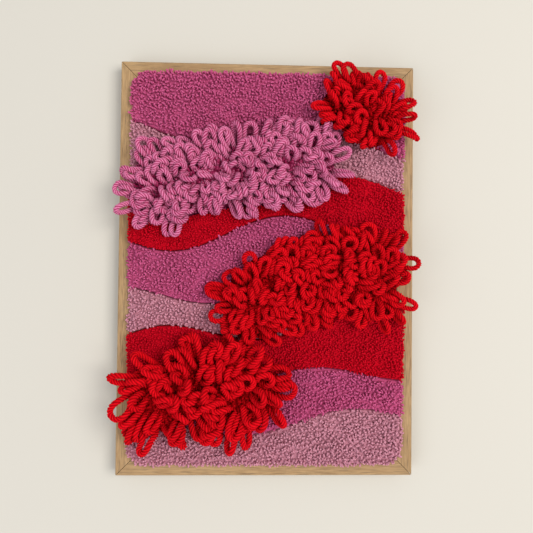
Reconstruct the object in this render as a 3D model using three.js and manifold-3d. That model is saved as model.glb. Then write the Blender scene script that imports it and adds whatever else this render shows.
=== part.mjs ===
// A tufted textile in a slim portrait picture frame of wood, lying on its back.
// Four mitred bars with a rebate hold a flat panel, and a tufting cloth is stretched on the panel.
// Short pile stands on the cloth in bands with wavy borders, and four clouds of long yarn loops rise from it.
// Millimetres: X runs to the right of the picture, Y runs up it and Z out of its face.
// The origin is the centre of the back, on which the piece rests.

import * as THREE from "three";
import { mergeVertices } from "three/addons/utils/BufferGeometryUtils.js";
import Module from "manifold-3d";

const wasm = await Module();
wasm.setup();

// The frame.
const frameWidth = 227;
const frameHeight = 317;
const frameDepth = 15;
const barWidth = 12.5;
const lipThickness = 5;
const rebateWidth = 4;
const edgeChamfer = 0.6;
const mitreGap = 0.45;

// What the frame holds, from the back to the face.
const pieceGap = 0.3;
const shortestEdge = 0.06;
const weldDistance = 0.001;
const clothThickness = 1.7;
const lipBack = frameDepth - lipThickness;
const clothTop = lipBack - pieceGap;
const clothBack = clothTop - clothThickness;
const panelFront = clothBack - pieceGap;
const pileFoot = clothTop + pieceGap;
const openingWidth = frameWidth - 2 * barWidth;
const openingHeight = frameHeight - 2 * barWidth;

// The pile spreads over the inner edge of the bars, and its corners are rounded.
const pileSpread = 3;
const pileCorner = 11;
const pileEdgeRound = 2.6;
const pileEdgeBend = 0.3;
const borderStep = 10;
const borderGap = 0.38;
const leastBandVolume = 500;

// The wavy borders between the bands, from the bottom of the picture to its top.
// Each is a sloping sine wave: its height at the middle, its rise across the opening, and the wave itself.
const borders = [
  { middle: -119, rise: 16, swing: 7, length: 150, shift: 25 },
  { middle: -88, rise: 22, swing: 9, length: 172, shift: -12 },
  { middle: -44, rise: 26, swing: 10, length: 160, shift: 38 },
  { middle: -12, rise: 22, swing: 11, length: 178, shift: 8 },
  { middle: 28, rise: 10, swing: 12, length: 164, shift: -30 },
  { middle: 62, rise: -2, swing: 10, length: 150, shift: 22 },
  { middle: 101, rise: -14, swing: 9, length: 168, shift: -8 },
];

// The bands of short pile between those borders, from the bottom up. The top is above the back of the frame.
const bands = [
  { name: "pale_pile_bottom", yarn: "pale_yarn", top: 19 },
  { name: "magenta_pile_low", yarn: "magenta_yarn", top: 20.5 },
  { name: "red_pile_low", yarn: "red_yarn", top: 22.6 },
  { name: "pale_pile_middle", yarn: "pale_yarn", top: 19 },
  { name: "magenta_pile_middle", yarn: "magenta_yarn", top: 20.5 },
  { name: "red_pile_high", yarn: "red_yarn", top: 22.6 },
  { name: "pale_pile_high", yarn: "pale_yarn", top: 19 },
  { name: "magenta_pile_top", yarn: "magenta_yarn", top: 20.5 },
];

// The clouds of loops: the line that each follows, its half width, and the size of its yarn and loops.
const clouds = [
  {
    name: "pink_loops",
    yarn: "pink_loop_yarn",
    line: [[-80, 60], [-46, 70], [-8, 72], [26, 82]],
    halfWidth: 25,
    strand: 4.3,
    loopLength: 18,
    seed: 11,
  },
  {
    name: "red_loops",
    yarn: "red_loop_yarn",
    line: [[-6, -26], [24, -8], [54, -2], [82, -6]],
    halfWidth: 27,
    strand: 4.3,
    loopLength: 17,
    seed: 23,
  },
  {
    name: "thick_red_loops",
    yarn: "thick_red_yarn",
    line: [[-80, -98], [-48, -90], [-14, -94]],
    halfWidth: 24,
    strand: 5.2,
    loopLength: 21,
    seed: 37,
  },
  {
    name: "red_corner_loops",
    yarn: "red_loop_yarn",
    line: [[64, 128], [82, 116]],
    halfWidth: 20,
    strand: 4.3,
    loopLength: 17,
    seed: 51,
  },
];

// How a cloud's mound is built up, from its foot to its crown: the share of its half width, and its height.
const moundRings = [
  { share: 1, height: pileFoot },
  { share: 1, height: 21.5 },
  { share: 0.86, height: 25 },
  { share: 0.55, height: 27.5 },
  { share: 0.22, height: 28.5 },
];
const moundStep = 11;
const moundGap = 0.7;
const lumpLength = 34;
const lumpSwing = 0.09;
const lumpHeight = 1.2;
const lumpWidth = 5.5;

// The rows of loops on a mound, from its rim to its crown: where they are rooted, and how far they stand up.
const loopRows = [
  { share: 0.82, spacing: 13, degreesUp: 4 },
  { share: 0.5, spacing: 14.5, degreesUp: 20 },
  { share: 0.12, spacing: 17, degreesUp: 36 },
];

// The bends of a loop: how far out each lies, as a share of its length, and how far aside, as a share of
// its width.
const loopBends = [
  { out: 0.55, aside: 0.5 },
  { out: 0.96, aside: 0.24 },
  { out: 0.96, aside: -0.24 },
  { out: 0.55, aside: -0.5 },
];
const loopRoot = 6;
const loopWidthShare = 0.58;
const loopFloor = 23.8;
const loopThicknessShare = 0.86;
const loopClearShare = 1.25;
const leastRootVolume = 30;

// How much one loop differs from the next.
const loopUneven = { place: 0.5, degreesUp: 14, degreesAside: 40, degreesRolled: 126, length: 0.25 };
const shortestLoop = 0.85;

const colours = {
  oak: { color: 0xb4986a, roughness: 0.6 },
  board: { color: 0xc9b79a, roughness: 0.85 },
  ground_cloth: { color: 0xcfc4b4, roughness: 0.95 },
  pale_yarn: { color: 0xc98aa4, roughness: 0.95 },
  magenta_yarn: { color: 0xb04c80, roughness: 0.95 },
  red_yarn: { color: 0xc0101c, roughness: 0.95 },
  pink_loop_yarn: { color: 0xd4709c, roughness: 0.9 },
  red_loop_yarn: { color: 0xd8141c, roughness: 0.9 },
  thick_red_yarn: { color: 0xcf1420, roughness: 0.9 },
};

// A number from 0 to 1 that looks random and is the same in every run.
function jitter(key) {
  const wave = Math.sin(key * 12.9898) * 43758.5453;
  return wave - Math.floor(wave);
}

// Closed three.js geometry to a solid that can be joined and cut.
function solidOf(geometry) {
  const bare = new THREE.BufferGeometry();
  bare.setAttribute("position", geometry.getAttribute("position"));
  bare.setIndex(geometry.index);
  const merged = mergeVertices(bare, weldDistance);
  return new wasm.Manifold(
    new wasm.Mesh({
      numProp: 3,
      vertProperties: merged.getAttribute("position").array,
      triVerts: new Uint32Array(merged.index.array),
    }),
  );
}

function geometryOf(solid) {
  const made = solid.getMesh();
  const geometry = new THREE.BufferGeometry();
  geometry.setAttribute(
    "position",
    new THREE.BufferAttribute(new Float32Array(made.vertProperties), 3),
  );
  geometry.setIndex(new THREE.BufferAttribute(new Uint32Array(made.triVerts), 1));
  return geometry;
}

// A closed body through outlines of equal point counts, stacked from the lowest to the highest.
// Each outline runs anticlockwise as seen from above.
function stackOf(outlines) {
  const count = outlines[0].length;
  const positions = outlines.flat().flatMap((point) => [point.x, point.y, point.z]);
  const faces = [];
  for (let level = 0; level + 1 < outlines.length; level++) {
    for (let i = 0; i < count; i++) {
      const next = (i + 1) % count;
      const low = level * count;
      const high = low + count;
      faces.push(low + i, low + next, high + next, low + i, high + next, high + i);
    }
  }
  const capOf = (outline) =>
    THREE.ShapeUtils.triangulateShape(
      outline.map((point) => new THREE.Vector2(point.x, point.y)),
      [],
    );
  for (const [a, b, c] of capOf(outlines[0])) faces.push(c, b, a);
  const top = (outlines.length - 1) * count;
  for (const [a, b, c] of capOf(outlines.at(-1))) faces.push(top + a, top + b, top + c);
  const geometry = new THREE.BufferGeometry();
  geometry.setAttribute("position", new THREE.Float32BufferAttribute(positions, 3));
  geometry.setIndex(faces);
  return geometry;
}

// An outline drawn in by a distance, at a new height.
function drawnIn(outline, distance, height) {
  const count = outline.length;
  return outline.map((point, i) => {
    const before = outline[(i + count - 1) % count];
    const after = outline[(i + 1) % count];
    const along = new THREE.Vector2(after.x - before.x, after.y - before.y).normalize();
    return new THREE.Vector3(
      point.x - along.y * distance,
      point.y + along.x * distance,
      height,
    );
  });
}

// A slab with straight sides and a rounded upper edge.
function slabOf(outline, foot, top, round) {
  return solidOf(
    stackOf([
      drawnIn(outline, 0, foot),
      drawnIn(outline, 0, top - round),
      drawnIn(outline, round * pileEdgeBend, top - round * pileEdgeBend),
      drawnIn(outline, round, top),
    ]),
  );
}

function roundedRectangle(width, height, radius) {
  const pointsPerCorner = 6;
  const corners = [
    { x: 1, y: -1, from: -90 },
    { x: 1, y: 1, from: 0 },
    { x: -1, y: 1, from: 90 },
    { x: -1, y: -1, from: 180 },
  ];
  return corners.flatMap((corner) =>
    Array.from({ length: pointsPerCorner }, (_, i) => {
      const turn = THREE.MathUtils.degToRad(corner.from + (90 * i) / (pointsPerCorner - 1));
      return new THREE.Vector3(
        corner.x * (width / 2 - radius) + radius * Math.cos(turn),
        corner.y * (height / 2 - radius) + radius * Math.sin(turn),
        0,
      );
    }),
  );
}

function boxOf(width, height, low, high) {
  const box = new THREE.BoxGeometry(width, height, high - low);
  return box.translate(0, 0, (low + high) / 2);
}

// One bar of the frame along X, with its outer face at y = 0 and its ends mitred at 45 degrees.
function barGeometry(length) {
  const section = [
    [0, 0],
    [barWidth - rebateWidth, 0],
    [barWidth - rebateWidth, lipBack],
    [barWidth, lipBack],
    [barWidth, frameDepth - edgeChamfer],
    [barWidth - edgeChamfer, frameDepth],
    [edgeChamfer, frameDepth],
    [0, frameDepth - edgeChamfer],
  ];
  const shape = new THREE.Shape(section.map(([inward, up]) => new THREE.Vector2(inward, up)));
  const bar = new THREE.ExtrudeGeometry(shape, { depth: 1, steps: 1, bevelEnabled: false });
  const position = bar.getAttribute("position");
  for (let i = 0; i < position.count; i++) {
    const inward = position.getX(i);
    const up = position.getY(i);
    const side = position.getZ(i) > 0.5 ? 1 : -1;
    const reach = length / 2 - inward - mitreGap / 2;
    position.setXYZ(i, side * reach, inward, up);
  }
  return bar;
}

// The height of a border at a place across the picture.
function borderHeight(border, x) {
  const wave = Math.sin((2 * Math.PI * (x - border.shift)) / border.length);
  return border.middle + (border.rise * x) / openingWidth + border.swing * wave;
}

// The outline of the band between two borders. A missing border is the edge of the pile.
function bandOutline(lower, upper) {
  const reach = openingWidth / 2 + borderStep;
  const edge = openingHeight / 2 + borderStep;
  const steps = Math.round((2 * reach) / borderStep);
  const outline = [];
  for (let i = 0; i <= steps; i++) {
    const x = -reach + (2 * reach * i) / steps;
    outline.push(new THREE.Vector3(x, lower ? borderHeight(lower, x) + borderGap / 2 : -edge, 0));
  }
  for (let i = steps; i >= 0; i--) {
    const x = -reach + (2 * reach * i) / steps;
    outline.push(new THREE.Vector3(x, upper ? borderHeight(upper, x) - borderGap / 2 : edge, 0));
  }
  return outline;
}

// The line that a cloud follows, and the place on its mound at a distance round its rim.
function lineOf(cloud) {
  return new THREE.CatmullRomCurve3(cloud.line.map(([x, y]) => new THREE.Vector3(x, y, 0)));
}

function rimLength(cloud) {
  return 2 * lineOf(cloud).getLength() + 2 * Math.PI * cloud.halfWidth;
}

function rimPlace(cloud, distance) {
  const line = lineOf(cloud);
  const length = line.getLength();
  const halfTurn = Math.PI * cloud.halfWidth;
  const outwardAt = (share, turn) => {
    const along = line.getTangentAt(share);
    return new THREE.Vector3(along.y, -along.x, 0).applyAxisAngle(new THREE.Vector3(0, 0, 1), turn);
  };
  let base;
  let outward;
  if (distance < length) {
    base = line.getPointAt(distance / length);
    outward = outwardAt(distance / length, 0);
  } else if (distance < length + halfTurn) {
    base = line.getPointAt(1);
    outward = outwardAt(1, (distance - length) / cloud.halfWidth);
  } else if (distance < 2 * length + halfTurn) {
    const share = 1 - (distance - length - halfTurn) / length;
    base = line.getPointAt(share);
    outward = outwardAt(share, Math.PI);
  } else {
    base = line.getPointAt(0);
    outward = outwardAt(0, Math.PI + (distance - 2 * length - halfTurn) / cloud.halfWidth);
  }
  const lump = Math.sin((2 * Math.PI * distance) / lumpLength + cloud.seed);
  return { base, outward, halfWidth: cloud.halfWidth * (1 + lumpSwing * lump) };
}

// A point of a mound: a share of the way from its line to its rim, and the height there.
function moundPoint(cloud, distance, share, height) {
  const place = rimPlace(cloud, distance);
  const point = place.base.clone().addScaledVector(place.outward, place.halfWidth * share);
  const bumps = Math.sin(point.x / lumpWidth + cloud.seed) * Math.cos(point.y / lumpWidth - cloud.seed);
  point.z = height + (share < 1 ? lumpHeight * bumps : 0);
  return point;
}

function moundOutline(cloud, share, height) {
  const length = rimLength(cloud);
  const count = Math.round(length / moundStep);
  return Array.from({ length: count }, (_, i) =>
    moundPoint(cloud, (length * i) / count, share, height),
  );
}

// The height of a mound's surface at a share of its half width.
function moundHeight(share) {
  for (let i = moundRings.length - 1; i > 0; i--) {
    const low = moundRings[i - 1];
    const high = moundRings[i];
    if (share >= high.share && share <= low.share && low.share > high.share) {
      return THREE.MathUtils.mapLinear(share, low.share, high.share, low.height, high.height);
    }
  }
  return moundRings.at(-1).height;
}

// The middle line of one loop of yarn: a teardrop that leaves the mound at a root, in the plane of two
// directions.
function loopPoints(cloud, root, outward, sideways, length) {
  const width = length * loopWidthShare;
  const bends = loopBends.map((bend) => [length * bend.out, width * bend.aside]);
  const half = cloud.strand / 2;
  return [[-loopRoot, half], ...bends, [-loopRoot, -half]].map(([out, aside]) => {
    const point = root.clone().addScaledVector(outward, out).addScaledVector(sideways, aside);
    point.z = Math.max(point.z, loopFloor + half);
    return point;
  });
}

// A four-sided strand along a line of points that lies roughly in one plane.
function strandSolid(points, thickness) {
  const half = thickness / 2;
  const across = new THREE.Vector3()
    .subVectors(points[1], points[0])
    .cross(new THREE.Vector3().subVectors(points.at(-2), points[0]))
    .normalize();
  const positions = [];
  const faces = [];
  points.forEach((point, i) => {
    const before = points[Math.max(i - 1, 0)];
    const after = points[Math.min(i + 1, points.length - 1)];
    const along = new THREE.Vector3().subVectors(after, before).normalize();
    const inward = new THREE.Vector3().crossVectors(across, along).normalize();
    for (const [a, b] of [[1, 1], [-1, 1], [-1, -1], [1, -1]]) {
      const corner = point.clone().addScaledVector(inward, a * half).addScaledVector(across, b * half);
      positions.push(corner.x, corner.y, corner.z);
    }
    if (i === 0) return;
    const near = 4 * (i - 1);
    for (let side = 0; side < 4; side++) {
      const next = (side + 1) % 4;
      faces.push(near + side, near + next, near + 4 + next);
      faces.push(near + side, near + 4 + next, near + 4 + side);
    }
  });
  const end = 4 * (points.length - 1);
  faces.push(0, 2, 1, 0, 3, 2, end, end + 1, end + 2, end, end + 2, end + 3);
  const geometry = new THREE.BufferGeometry();
  geometry.setAttribute("position", new THREE.Float32BufferAttribute(positions, 3));
  geometry.setIndex(faces);
  return solidOf(geometry);
}

// The outer points of a loop stay clear of every loop already placed.
function standsClear(points, thickness, placed) {
  const outer = points.slice(1, -1);
  const clearance = thickness * loopClearShare;
  return placed.every((other) =>
    other.every((there) => outer.every((here) => here.distanceTo(there) > clearance)),
  );
}

// The loops of one cloud, row by row.
function loopsOf(cloud, placed) {
  const loops = [];
  let key = cloud.seed;
  for (const row of loopRows) {
    const rowLength = 2 * lineOf(cloud).getLength() + 2 * Math.PI * cloud.halfWidth * row.share;
    const count = Math.round(rowLength / row.spacing);
    for (let i = 0; i < count; i++) {
      key += 1;
      const distance = (rimLength(cloud) * (i + loopUneven.place * jitter(key))) / count;
      const points = loopAt(cloud, row, distance, key);
      if (!standsClear(points, cloud.strand, placed)) continue;
      placed.push(points.slice(1, -1));
      loops.push(strandSolid(points, cloud.strand * loopThicknessShare));
    }
  }
  return loops;
}

// The middle line of the loop at a distance round the rim, turned and sized by its own key.
function loopAt(cloud, row, distance, key) {
  const up = new THREE.Vector3(0, 0, 1);
  const rimward = rimPlace(cloud, distance).outward;
  const uneven = (degrees, part) => THREE.MathUtils.degToRad(degrees) * (jitter(key + part) - 0.5);
  const rise = THREE.MathUtils.degToRad(row.degreesUp + loopUneven.degreesUp * jitter(key + 0.3));
  const outward = rimward
    .clone()
    .applyAxisAngle(up, uneven(loopUneven.degreesAside, 0.6))
    .multiplyScalar(Math.cos(rise))
    .addScaledVector(up, Math.sin(rise));
  const sideways = up
    .clone()
    .cross(rimward)
    .applyAxisAngle(outward, uneven(loopUneven.degreesRolled, 0.9));
  const length = cloud.loopLength * (shortestLoop + loopUneven.length * jitter(key + 1.2));
  const root = moundPoint(cloud, distance, row.share, moundHeight(row.share));
  return loopPoints(cloud, root, outward, sideways, length);
}

// The room that pile may take: inside the opening below the face of the frame, and anywhere in front of it.
const far = 2 * frameHeight;
const pileRoom = solidOf(
  boxOf(openingWidth - 2 * pieceGap, openingHeight - 2 * pieceGap, pileFoot - 1, far),
).add(solidOf(boxOf(far, far, frameDepth + pieceGap, far)));

const pileOutline = roundedRectangle(
  openingWidth + 2 * pileSpread,
  openingHeight + 2 * pileSpread,
  pileCorner,
);

// The separate bodies of a solid, the largest first, without edges too short to keep.
function bodiesOf(solid) {
  return solid
    .simplify(shortestEdge)
    .decompose()
    .sort((a, b) => b.volume() - a.volume());
}

function bandSolid(band, index) {
  const outline = bandOutline(borders[index - 1], borders[index]);
  let solid = slabOf(outline, pileFoot, band.top, pileEdgeRound)
    .intersect(slabOf(pileOutline, pileFoot - 1, band.top, pileEdgeRound))
    .intersect(pileRoom);
  for (const cloud of clouds) {
    const clearShare = 1 + moundGap / cloud.halfWidth;
    const footprint = [pileFoot - 1, far].map((height) => moundOutline(cloud, clearShare, height));
    solid = solid.subtract(solidOf(stackOf(footprint)));
  }
  return solid;
}

function cloudSolid(cloud, placed) {
  const rings = moundRings.map((ring) => moundOutline(cloud, ring.share, ring.height));
  const mound = solidOf(stackOf(rings)).intersect(pileRoom);
  const rooted = loopsOf(cloud, placed).filter(
    (loop) => loop.intersect(mound).volume() > leastRootVolume,
  );
  return bodiesOf(rooted.reduce((joined, loop) => joined.add(loop), mound))[0];
}

const picture = new THREE.Group();

function addPiece(name, finish, geometry) {
  const material = new THREE.MeshStandardMaterial({ ...colours[finish], metalness: 0 });
  const mesh = new THREE.Mesh(geometry, material);
  mesh.name = name;
  picture.add(mesh);
  return mesh;
}

function addBars() {
  const sides = [
    { name: "bar_bottom", length: frameWidth, away: frameHeight / 2, turn: 0 },
    { name: "bar_right", length: frameHeight, away: frameWidth / 2, turn: 90 },
    { name: "bar_top", length: frameWidth, away: frameHeight / 2, turn: 180 },
    { name: "bar_left", length: frameHeight, away: frameWidth / 2, turn: 270 },
  ];
  for (const side of sides) {
    const turn = THREE.MathUtils.degToRad(side.turn);
    const bar = addPiece(side.name, "oak", barGeometry(side.length));
    bar.rotation.z = turn;
    bar.position.set(side.away * Math.sin(turn), -side.away * Math.cos(turn), 0);
  }
}

function addPanelAndCloth() {
  const width = openingWidth + 2 * (rebateWidth - pieceGap);
  const height = openingHeight + 2 * (rebateWidth - pieceGap);
  addPiece("back_panel", "board", boxOf(width, height, 0, panelFront));
  addPiece("tufting_cloth", "ground_cloth", boxOf(width, height, clothBack, clothTop));
}

// A cloud can cut a band in two, and each part is then a piece of its own.
function addBands() {
  bands.forEach((band, index) => {
    const parts = bodiesOf(bandSolid(band, index)).filter((part) => part.volume() > leastBandVolume);
    parts.forEach((part, i) => {
      const name = i ? band.name + "_part_" + (i + 1) : band.name;
      addPiece(name, band.yarn, geometryOf(part));
    });
  });
}

function addClouds() {
  const placed = [];
  for (const cloud of clouds) {
    addPiece(cloud.name, cloud.yarn, geometryOf(cloudSolid(cloud, placed)));
  }
}

addBars();
addPanelAndCloth();
addBands();
addClouds();

export default picture;
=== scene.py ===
# %% [markdown]
# # A tufted textile in a wooden frame
#
# The real piece is a slim picture frame round a stretched cloth. A tufting tool has punched yarn
# through the cloth: short cut pile lies in wavy bands, and long loops of plied yarn are left
# standing in four clouds. The bars and the panel keep their CAD meshes. This script lays the cloth
# and grows the yarn in place of their plain CAD solids, gives every surface its finish, and sets a
# camera and soft light. All sizes are in metres, and MM turns millimetres into them.

import math

import bmesh
import bpy
import numpy as np
from mathutils import Matrix, Vector, kdtree
from mathutils.bvhtree import BVHTree


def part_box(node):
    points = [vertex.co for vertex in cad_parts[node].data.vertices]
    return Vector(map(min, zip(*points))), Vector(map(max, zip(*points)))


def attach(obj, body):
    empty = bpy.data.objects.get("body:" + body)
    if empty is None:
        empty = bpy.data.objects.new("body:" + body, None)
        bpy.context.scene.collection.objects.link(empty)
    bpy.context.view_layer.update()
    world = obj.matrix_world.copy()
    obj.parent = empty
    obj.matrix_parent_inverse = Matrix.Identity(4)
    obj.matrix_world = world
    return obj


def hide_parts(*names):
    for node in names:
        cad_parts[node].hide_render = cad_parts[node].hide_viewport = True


MM = 0.001
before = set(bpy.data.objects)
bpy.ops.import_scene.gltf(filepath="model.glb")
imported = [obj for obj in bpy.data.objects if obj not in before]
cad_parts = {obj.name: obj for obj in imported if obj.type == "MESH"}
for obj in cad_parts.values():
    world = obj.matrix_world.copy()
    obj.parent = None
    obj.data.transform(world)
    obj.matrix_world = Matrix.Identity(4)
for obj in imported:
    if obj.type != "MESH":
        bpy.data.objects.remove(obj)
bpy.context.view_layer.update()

# %% [markdown]
# The main sizes are read off the CAD nodes, so the yarn always fits the frame. The piece is centred
# on the origin, so one side bar and the top bar are enough: their inner edges give half the opening,
# their outer edges half the frame, and their tops the frame's face.

# %% Sizes from the frame
right_low, right_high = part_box("bar_right")
top_low, top_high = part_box("bar_top")
cloth_low, cloth_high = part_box("tufting_cloth")

FACE = right_high[2]
OPENING = np.array((right_low[0], top_low[1]))
OUTER = np.array((right_high[0], top_high[1]))


def inside_opening(places, margin):
    return (np.abs(places) < OPENING - margin).all(axis=-1)


print("opening in mm:", (2 * OPENING / MM).round(1), "and face at", round(FACE / MM, 1))

# %% [markdown]
# The camera looks almost straight down at the piece, which lies on its back. Its place, tilt and
# lens follow from the four corners of the frame: the side bars draw together a little towards the
# top of the picture, and the other two towards the right.

# %% Camera
CAMERA_PLACE = Vector((-0.0148, -0.0077, 0.4464))
CAMERA_LOOK = Vector((0.0339, 0.0212, -0.9992)).normalized()
CAMERA_UP = Vector((-0.0109, 0.9997, 0.0208))
CAMERA_LENS = 37.8
SENSOR_WIDTH = 36


def link_object(name, data):
    made = bpy.data.objects.new(name, data)
    bpy.context.scene.collection.objects.link(made)
    return made


def add_camera():
    data = bpy.data.cameras.new("camera")
    data.lens = CAMERA_LENS
    data.sensor_width = SENSOR_WIDTH
    right = CAMERA_LOOK.cross(CAMERA_UP).normalized()
    up = right.cross(CAMERA_LOOK)
    turn = Matrix((right, up, -CAMERA_LOOK)).transposed()
    camera = link_object("camera", data)
    camera.matrix_world = Matrix.Translation(CAMERA_PLACE) @ turn.to_4x4()
    bpy.context.scene.camera = camera
    print("camera stands", round(CAMERA_PLACE.length / MM), "mm from the origin")


add_camera()

# %% [markdown]
# Every finish and every strand here is built from nodes. Three helpers keep that short. The first
# makes a node, sets its inputs and joins them to others. The second starts a group with named
# sockets, and the third starts a material with its Principled shader.

# %% Making nodes
NUMBER = "NodeSocketFloat"
COLOUR = "NodeSocketColor"


def node(tree, kind, inputs=None, **settings):
    made = tree.nodes.new(kind)
    for name, value in settings.items():
        setattr(made, name, value)
    for key, value in (inputs or {}).items():
        if isinstance(value, bpy.types.NodeSocket):
            tree.links.new(value, made.inputs[key])
        else:
            made.inputs[key].default_value = value
    return made


def new_group(name, kind, inputs, outputs):
    tree = bpy.data.node_groups.new(name, kind)
    for way, sockets in (("INPUT", inputs), ("OUTPUT", outputs)):
        for label, socket_kind, value in sockets:
            socket = tree.interface.new_socket(label, in_out=way, socket_type=socket_kind)
            if value is not None:
                socket.default_value = value
    given = tree.nodes.new("NodeGroupInput").outputs
    out = tree.nodes.new("NodeGroupOutput").inputs
    return tree, given, out


def new_material(name, **plain):
    material = bpy.data.materials.new(name)
    material.use_nodes = True
    tree = material.node_tree
    shader = next(n for n in tree.nodes if n.type == "BSDF_PRINCIPLED")
    for label, value in plain.items():
        shader.inputs[label.replace("_", " ")].default_value = value
    return material, tree, shader


# %% [markdown]
# A finish is a sum of a few patterns: some noise, a mix of two colours, a little relief. A helper
# with a plain name shows at a glance what a line adds. A Mix node has sockets of the same names for
# numbers and for colours, so the colour ones are found by their place.

# %% Sums and patterns
MIX_SHARE = 0
MIX_FIRST = 6
MIX_SECOND = 7
MIX_RESULT = 2
NOISE_MIDDLE = 0.5


def math_node(tree, operation, *values):
    return node(tree, "ShaderNodeMath", dict(enumerate(values)), operation=operation).outputs[0]


def times(tree, first, second):
    return math_node(tree, "MULTIPLY", first, second)


def plus(tree, first, second):
    return math_node(tree, "ADD", first, second)


def minus(tree, first, second):
    return math_node(tree, "SUBTRACT", first, second)


def vector_math(tree, operation, first, second):
    inputs = {0: first, "Scale" if operation == "SCALE" else 1: second}
    return node(tree, "ShaderNodeVectorMath", inputs, operation=operation).outputs[0]


def object_place(tree):
    return node(tree, "ShaderNodeTexCoord").outputs["Object"]


def attribute(tree, name):
    return node(tree, "ShaderNodeAttribute", attribute_name=name).outputs["Fac"]


def noise(tree, scale, detail, **inputs):
    inputs = {"Scale": scale, "Detail": detail, **inputs}
    return node(tree, "ShaderNodeTexNoise", inputs).outputs[0]


def steepened(tree, value, low, high):
    inputs = {"Value": value, "From Min": low, "From Max": high}
    return node(tree, "ShaderNodeMapRange", inputs).outputs[0]


def mixed(tree, share, first, second):
    inputs = {MIX_SHARE: share, MIX_FIRST: first, MIX_SECOND: second}
    return node(tree, "ShaderNodeMix", inputs, data_type="RGBA").outputs[MIX_RESULT]


def give_surface(tree, shader, colour, height, strength, distance):
    bump = node(tree, "ShaderNodeBump", {"Height": height, "Strength": strength, "Distance": distance})
    tree.links.new(colour, shader.inputs["Base Color"])
    tree.links.new(bump.outputs[0], shader.inputs["Normal"])


# %% [markdown]
# Oak shows three things at this distance: broad light and dark growth bands, thin pores that run
# along the bar as short dark dashes, and a faint drift in tone from end to end. Each is a noise,
# which never repeats and has no seams, and the first two are stretched along the grain. The stretch
# is an input, so that one group serves the upright bars and the level ones.

# %% Oak grain group
BAND_SCALE = 1600.0
PORE_SCALE = 1900.0
OAK_DRIFT_SCALE = 18.0
BAND_EDGES = (0.38, 0.62)
PORE_EDGES = (0.54, 0.66)
BAND_CONTRAST = 0.7
OAK_TONE_SHIFT = 0.35
PORE_DARKNESS = 0.55
PORE_COLOUR = (0.12, 0.08, 0.045, 1)
OAK_ROUGHNESS = 0.5
BAND_ROUGHNESS = 0.14
BAND_HEIGHT = 0.3


def oak_group():
    tree, given, out = new_group(
        "oak_grain",
        "ShaderNodeTree",
        [
            ("Stretch", "NodeSocketVector", (1.0, 1.0, 1.0)),
            ("Light", COLOUR, (0.5, 0.36, 0.2, 1)),
            ("Dark", COLOUR, (0.3, 0.2, 0.1, 1)),
        ],
        [
            ("Color", COLOUR, None),
            ("Roughness", NUMBER, None),
            ("Height", NUMBER, None),
        ],
    )
    place = object_place(tree)
    grain = vector_math(tree, "MULTIPLY", place, given["Stretch"])
    bands = steepened(tree, noise(tree, BAND_SCALE, detail=3.0, Vector=grain, Distortion=0.2), *BAND_EDGES)
    pores = steepened(tree, noise(tree, PORE_SCALE, detail=2.0, Vector=grain), *PORE_EDGES)
    drift = noise(tree, OAK_DRIFT_SCALE, detail=0.0, Vector=place)
    tone_and_painted_light = minus(tree, plus(tree, times(tree, bands, BAND_CONTRAST), drift), OAK_TONE_SHIFT)
    wood = mixed(tree, tone_and_painted_light, given["Light"], given["Dark"])
    pored = mixed(tree, times(tree, pores, PORE_DARKNESS), wood, PORE_COLOUR)
    rough = plus(tree, times(tree, bands, BAND_ROUGHNESS), OAK_ROUGHNESS)
    height = minus(tree, times(tree, bands, BAND_HEIGHT), pores)
    tree.links.new(pored, out["Color"])
    tree.links.new(rough, out["Roughness"])
    tree.links.new(height, out["Height"])
    print("oak grain group has", len(tree.nodes), "nodes")
    return tree


OAK_GRAIN = oak_group()

# %% [markdown]
# The frame is four mitred bars of oak. They keep their CAD meshes, because a bar's shape is exact
# there. Each gets the oak finish with the grain along it, so two materials are enough.

# %% Bars
GRAIN_STRETCH = 0.045
OAK_LIGHT = (0.46, 0.295, 0.137, 1)
OAK_DARK = (0.31, 0.185, 0.08, 1)


def oak_material(name, stretch):
    material, tree, shader = new_material(name, Specular_IOR_Level=0.35)
    inputs = {"Stretch": stretch, "Light": OAK_LIGHT, "Dark": OAK_DARK}
    wood = node(tree, "ShaderNodeGroup", inputs, node_tree=OAK_GRAIN).outputs
    tree.links.new(wood["Roughness"], shader.inputs["Roughness"])
    give_surface(tree, shader, wood["Color"], wood["Height"], strength=0.35, distance=0.3 * MM)
    return material


def dress_node(name, material):
    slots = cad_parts[name].data.materials
    slots.clear()
    slots.append(material)
    print(name, "is dressed in", material.name)


level_oak = oak_material("oak_level", (GRAIN_STRETCH, 1.0, 1.0))
upright_oak = oak_material("oak_upright", (1.0, GRAIN_STRETCH, 1.0))
bars = {"bottom": level_oak, "top": level_oak, "left": upright_oak, "right": upright_oak}
for side, oak in bars.items():
    dress_node("bar_" + side, oak)

# %% [markdown]
# The panel behind the cloth is pressed fibreboard, an even brown with a faint flock of lighter and
# darker fibres. Nobody sees it from the front, so its CAD mesh and one noise for both colour and
# relief are enough.

# %% Back panel
FLOCK_SCALE = 420.0
BOARD_DARK = (0.30, 0.20, 0.12, 1)
BOARD_LIGHT = (0.47, 0.35, 0.22, 1)


def board_material():
    material, tree, shader = new_material("fibreboard", Roughness=0.85)
    flock = noise(tree, FLOCK_SCALE, detail=6.0, Vector=object_place(tree))
    colour = mixed(tree, flock, BOARD_DARK, BOARD_LIGHT)
    give_surface(tree, shader, colour, flock, strength=0.3, distance=0.2 * MM)
    return material


dress_node("back_panel", board_material())

# %% [markdown]
# The ground is a plain woven cloth stretched flat. Threads could be modelled one by one, but the
# yarn hides nearly all of them. So the cloth is one sheet: a grid of quads with a little thickness.
# The weave is colour and bump, made of two waves that cross.

# %% Tufting cloth
THREAD = 1.1 * MM
WAVE_BAND = math.pi / 10
CLOTH_DARK = (0.36, 0.2, 0.2, 1)
CLOTH_LIGHT = (0.66, 0.5, 0.48, 1)


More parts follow.
